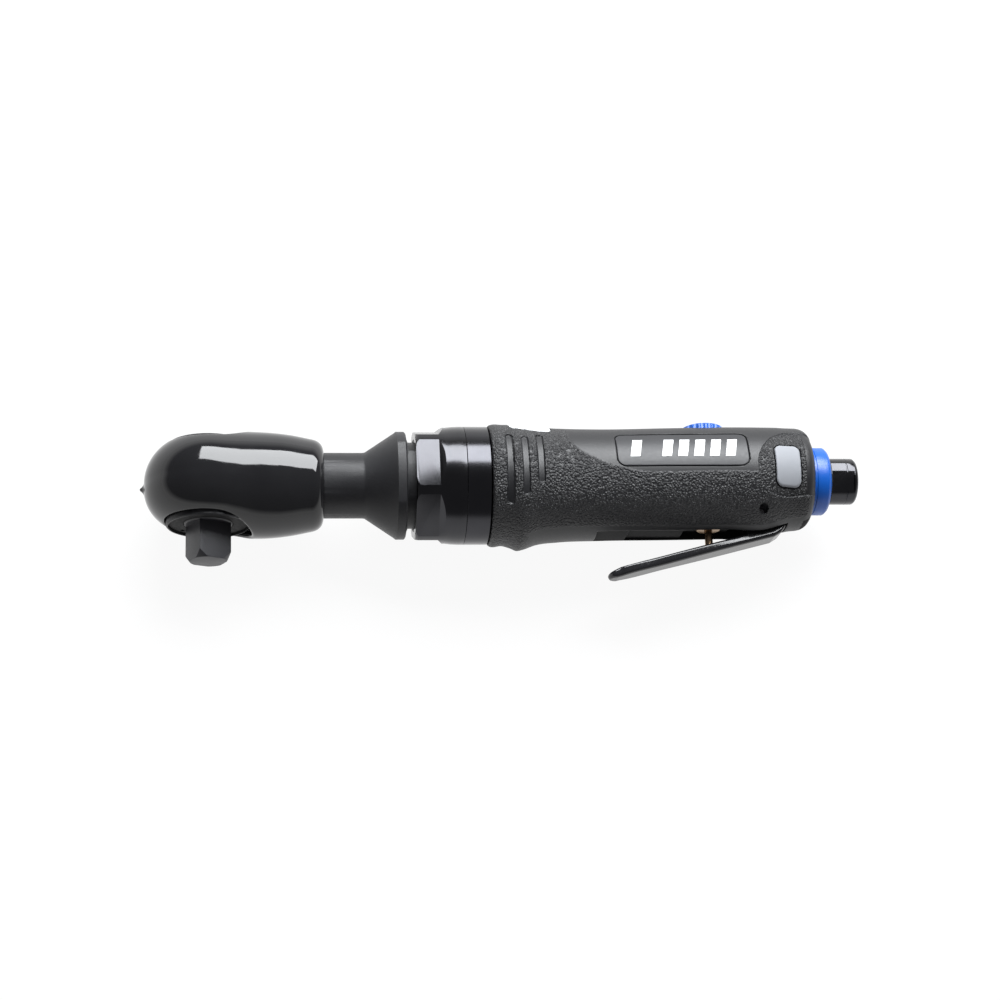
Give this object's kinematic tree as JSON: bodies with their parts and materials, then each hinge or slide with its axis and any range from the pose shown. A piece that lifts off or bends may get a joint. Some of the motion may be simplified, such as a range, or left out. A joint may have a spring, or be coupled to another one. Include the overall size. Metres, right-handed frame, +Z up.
{
  "type": "air ratchet",
  "caption": "Pneumatic ratchet wrench with a half-inch square drive, rubber-booted head, clamp nut, composite grip, paddle throttle, regulator dial and rear exhaust deflector.",
  "frame": {"origin": "centre of the square drive's end face", "axes": "+X along the tool from the head to the air inlet, -Y out of the square drive, +Z up with the tool lying on its side"},
  "size_m": [0.2742, 0.0611, 0.0482],
  "materials": {
    "boot_rubber": "dipped rubber, high gloss",
    "black_steel": "black oxide over turned steel, satin",
    "polished_steel": "polished black steel",
    "black_aluminium": "polished black",
    "bare_steel": "ground and oiled",
    "grip_composite": "moulded composite, leather grain and smooth zones",
    "plate_plastic": "smooth, semi-gloss",
    "badge_silver": "silver, satin",
    "label_film": "white film with a blue corner",
    "lever_paint": "gloss black",
    "bronze": "turned bronze",
    "blue_plastic": "satin blue",
    "seal_rubber": "moulded seal",
    "felt": "pressed felt",
    "vane_composite": "phenolic laminate"
  },
  "bodies": {
    "housing": {"head_boot": "boot_rubber", "ratchet_housing": "black_steel", "anvil_retaining_plate": "black_steel", "anvil_thrust_washer": "bare_steel", "crank_needle_bearing": "bare_steel", "carrier_bearing": "bare_steel", "ring_gear": "bare_steel", "nut_retaining_ring": "bare_steel", "clamp_nut": "polished_steel", "motor_housing": "black_aluminium", "front_end_plate": "bare_steel", "front_rotor_bearing": "bare_steel", "motor_cylinder": "bare_steel", "cylinder_dowel": "bare_steel", "rear_end_plate": "bare_steel", "rear_rotor_bearing": "bare_steel", "handle_grip": "grip_composite", "name_plate": "plate_plastic", "oil_badge": "badge_silver", "top_label": "label_film", "lever_pin": "bare_steel", "valve_bushing": "bronze", "valve_spring": "bare_steel", "inlet_bushing": "black_steel", "inlet_screen": "bronze", "inlet_o_ring": "seal_rubber", "exhaust_muffler": "felt", "deflector_snap_ring": "black_steel"},
    "anvil": {"anvil": "polished_steel", "socket_detent_spring": "bare_steel", "pawl_pin": "bare_steel"},
    "detent_ball": {"socket_detent_ball": "bare_steel"},
    "reverse_knob": {"reverse_knob": "black_steel", "reverse_plunger_spring": "bare_steel"},
    "reverse_plunger": {"reverse_plunger": "bare_steel"},
    "pawl": {"pawl": "bare_steel"},
    "ratchet_yoke": {"ratchet_yoke": "bare_steel"},
    "crankshaft": {"crankshaft": "bare_steel", "planet_pin_1": "bare_steel", "planet_pin_2": "bare_steel", "planet_pin_3": "bare_steel"},
    "drive_bushing": {"drive_bushing": "bronze"},
    "planet_gear_1": {"planet_gear_1": "bare_steel"},
    "planet_gear_2": {"planet_gear_2": "bare_steel"},
    "planet_gear_3": {"planet_gear_3": "bare_steel"},
    "rotor": {"rotor": "bare_steel", "vane_1": "vane_composite", "vane_2": "vane_composite", "vane_3": "vane_composite", "vane_4": "vane_composite", "vane_5": "vane_composite"},
    "throttle_lever": {"throttle_lever": "lever_paint"},
    "throttle_valve": {"throttle_valve": "bronze"},
    "regulator_dial": {"regulator_dial": "blue_plastic", "regulator_o_ring": "seal_rubber"},
    "exhaust_deflector": {"exhaust_deflector": "blue_plastic"}
  },
  "joints": [
    {"name": "anvil_spin", "type": "hinge", "parent": "housing", "child": "anvil", "pos_m": [0, 0, 0], "axis": [0, 1, 0], "continuous": true},
    {"name": "reverse_knob_turn", "type": "hinge", "parent": "anvil", "child": "reverse_knob", "pos_m": [0, 0.0417, 0], "axis": [0, 1, 0], "range_deg": [0, 50]},
    {"name": "pawl_tilt", "type": "hinge", "parent": "anvil", "child": "pawl", "pos_m": [-0.008, 0.0297, 0], "axis": [0, 1, 0], "range_deg": [-12, 0]},
    {"name": "reverse_plunger_press", "type": "slide", "parent": "reverse_knob", "child": "reverse_plunger", "axis": [0.9063, 0, 0.4226], "range_m": [0, 0.0008], "stiffness_N_per_m": 200, "springref_m": -0.002, "deforming": ["reverse_plunger_spring"]},
    {"name": "detent_ball_press", "type": "slide", "parent": "anvil", "child": "detent_ball", "axis": [0.4384, 0, 0.8988], "range_m": [0, 0.0004], "stiffness_N_per_m": 400, "springref_m": -0.002, "deforming": ["socket_detent_spring"]},
    {"name": "yoke_swing", "type": "hinge", "parent": "housing", "child": "ratchet_yoke", "pos_m": [0, 0.0297, 0], "axis": [0, 1, 0], "range_deg": [-4.3, 4.3]},
    {"name": "rotor_spin", "type": "hinge", "parent": "housing", "child": "rotor", "pos_m": [0.1012, 0.0297, 0], "axis": [1, 0, 0], "continuous": true},
    {"name": "crank_spin", "type": "hinge", "parent": "housing", "child": "crankshaft", "pos_m": [0.079, 0.0297, 0], "axis": [1, 0, 0], "continuous": true},
    {"name": "drive_bushing_spin", "type": "hinge", "parent": "crankshaft", "child": "drive_bushing", "pos_m": [0.026, 0.0315, 0], "axis": [1, 0, 0], "continuous": true},
    {"name": "planet_gear_1_spin", "type": "hinge", "parent": "crankshaft", "child": "planet_gear_1", "pos_m": [0.085, 0.0381, 0], "axis": [1, 0, 0], "continuous": true},
    {"name": "planet_gear_2_spin", "type": "hinge", "parent": "crankshaft", "child": "planet_gear_2", "pos_m": [0.085, 0.0255, 0.00727], "axis": [1, 0, 0], "continuous": true},
    {"name": "planet_gear_3_spin", "type": "hinge", "parent": "crankshaft", "child": "planet_gear_3", "pos_m": [0.085, 0.0255, -0.00727], "axis": [1, 0, 0], "continuous": true},
    {"name": "throttle_lever_press", "type": "hinge", "parent": "housing", "child": "throttle_lever", "pos_m": [0.2086, 0.0158, 0], "axis": [0, 0, -1], "range_deg": [0, 12], "stiffness_Nm_per_rad": 2, "springref_deg": -14.32},
    {"name": "throttle_valve_lift", "type": "slide", "parent": "housing", "child": "throttle_valve", "axis": [0, 1, 0], "range_m": [0, 0.0043], "deforming": ["valve_spring"]},
    {"name": "regulator_dial_turn", "type": "hinge", "parent": "housing", "child": "regulator_dial", "pos_m": [0.19, 0.0497, 0], "axis": [0, 1, 0], "range_deg": [-90, 90]},
    {"name": "exhaust_deflector_turn", "type": "hinge", "parent": "housing", "child": "exhaust_deflector", "pos_m": [0.233, 0.03145, 0], "axis": [1, 0, 0], "continuous": true}
  ],
  "couplings": [
    {"joint": "pawl_tilt", "follows": "reverse_knob_turn", "ratio": -0.24},
    {"joint": "crank_spin", "follows": "rotor_spin", "ratio": 0.1875},
    {"joint": "drive_bushing_spin", "follows": "rotor_spin", "ratio": -0.1875},
    {"joint": "planet_gear_1_spin", "follows": "rotor_spin", "ratio": -0.4875},
    {"joint": "planet_gear_2_spin", "follows": "rotor_spin", "ratio": -0.4875},
    {"joint": "planet_gear_3_spin", "follows": "rotor_spin", "ratio": -0.4875},
    {"joint": "throttle_valve_lift", "follows": "throttle_lever_press", "m_per_rad": 0.0202}
  ]
}
